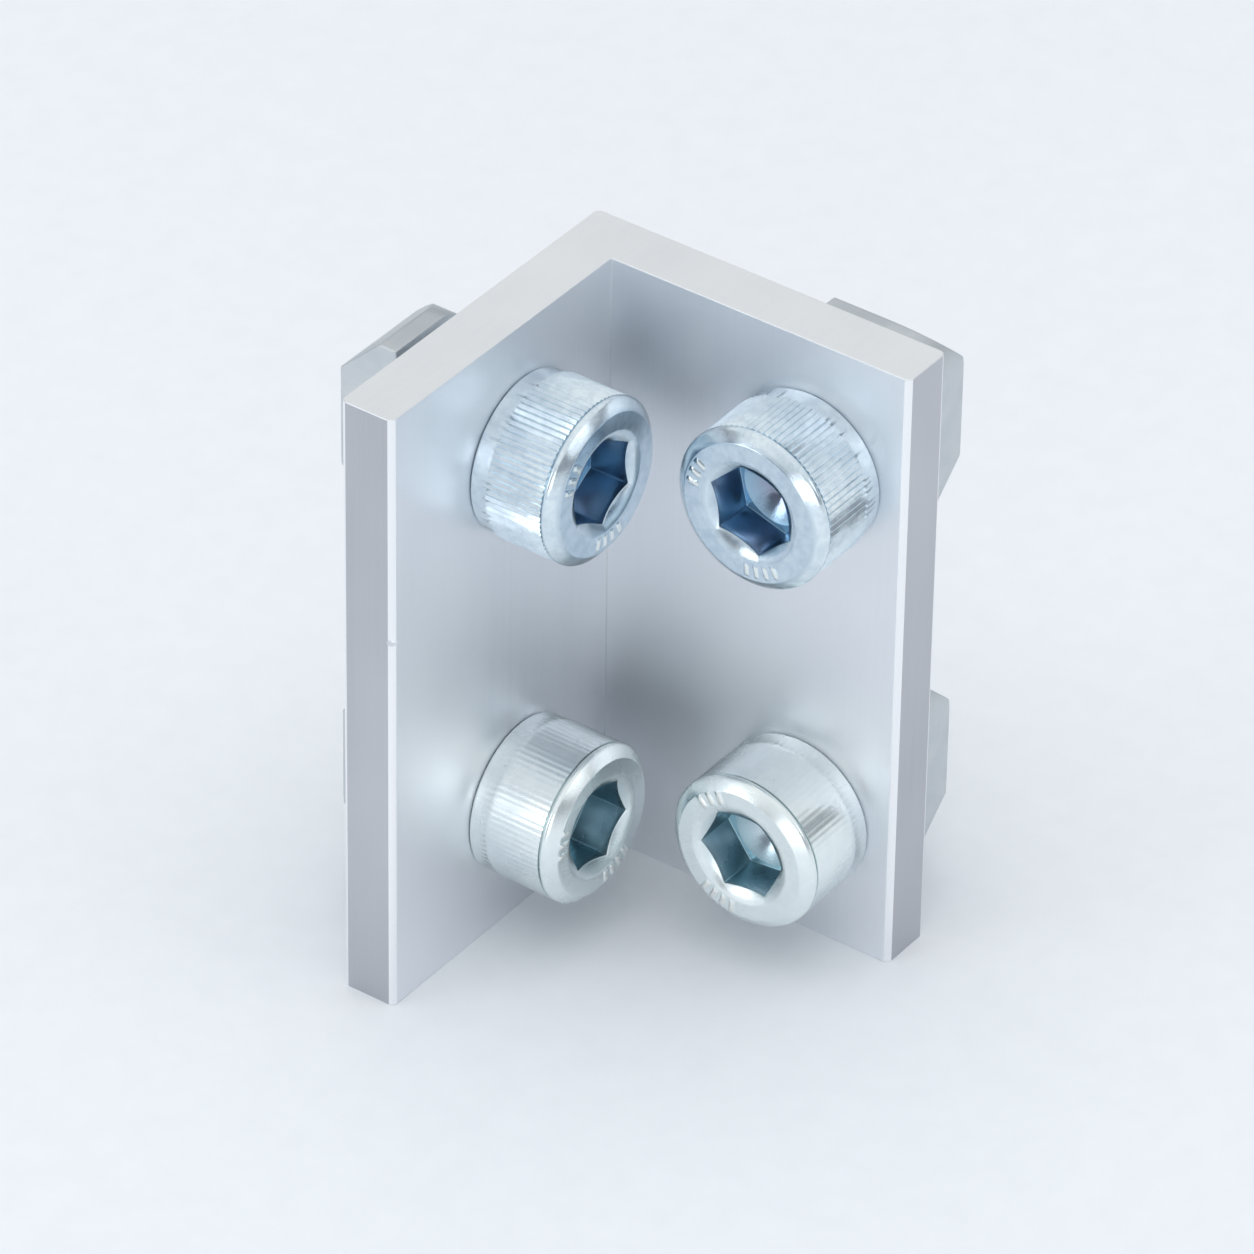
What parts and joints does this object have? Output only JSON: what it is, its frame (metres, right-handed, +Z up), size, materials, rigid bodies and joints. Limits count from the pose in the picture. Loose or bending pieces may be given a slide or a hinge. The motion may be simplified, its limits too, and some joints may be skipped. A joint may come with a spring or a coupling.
{
  "type": "l-bracket",
  "caption": "Upright L-bracket sawn from aluminium angle, with hex socket cap screws through both legs into turn-in slot nuts, for the inside corner of a slotted frame.",
  "frame": {"origin": "outer corner of the angle, where its two back faces meet, at the lower end", "axes": "+X along the left leg, +Y along the right leg, +Z up along the length of the angle"},
  "size_m": [0.0254, 0.0254, 0.034],
  "materials": {
    "anodised_aluminium": "satin natural anodised, sawn ends",
    "zinc_plated_steel": "bright blue zinc plating over knurled and turned steel",
    "nut_steel": "dull zinc plating over pressed steel"
  },
  "bodies": {
    "root": {"angle_bracket": "anodised_aluminium", "cap_screw_left_upper": "zinc_plated_steel", "cap_screw_left_lower": "zinc_plated_steel", "cap_screw_right_upper": "zinc_plated_steel", "cap_screw_right_lower": "zinc_plated_steel", "slot_nut_left_upper": "nut_steel", "slot_nut_left_lower": "nut_steel", "slot_nut_right_upper": "nut_steel", "slot_nut_right_lower": "nut_steel"}
  },
  "joints": []
}
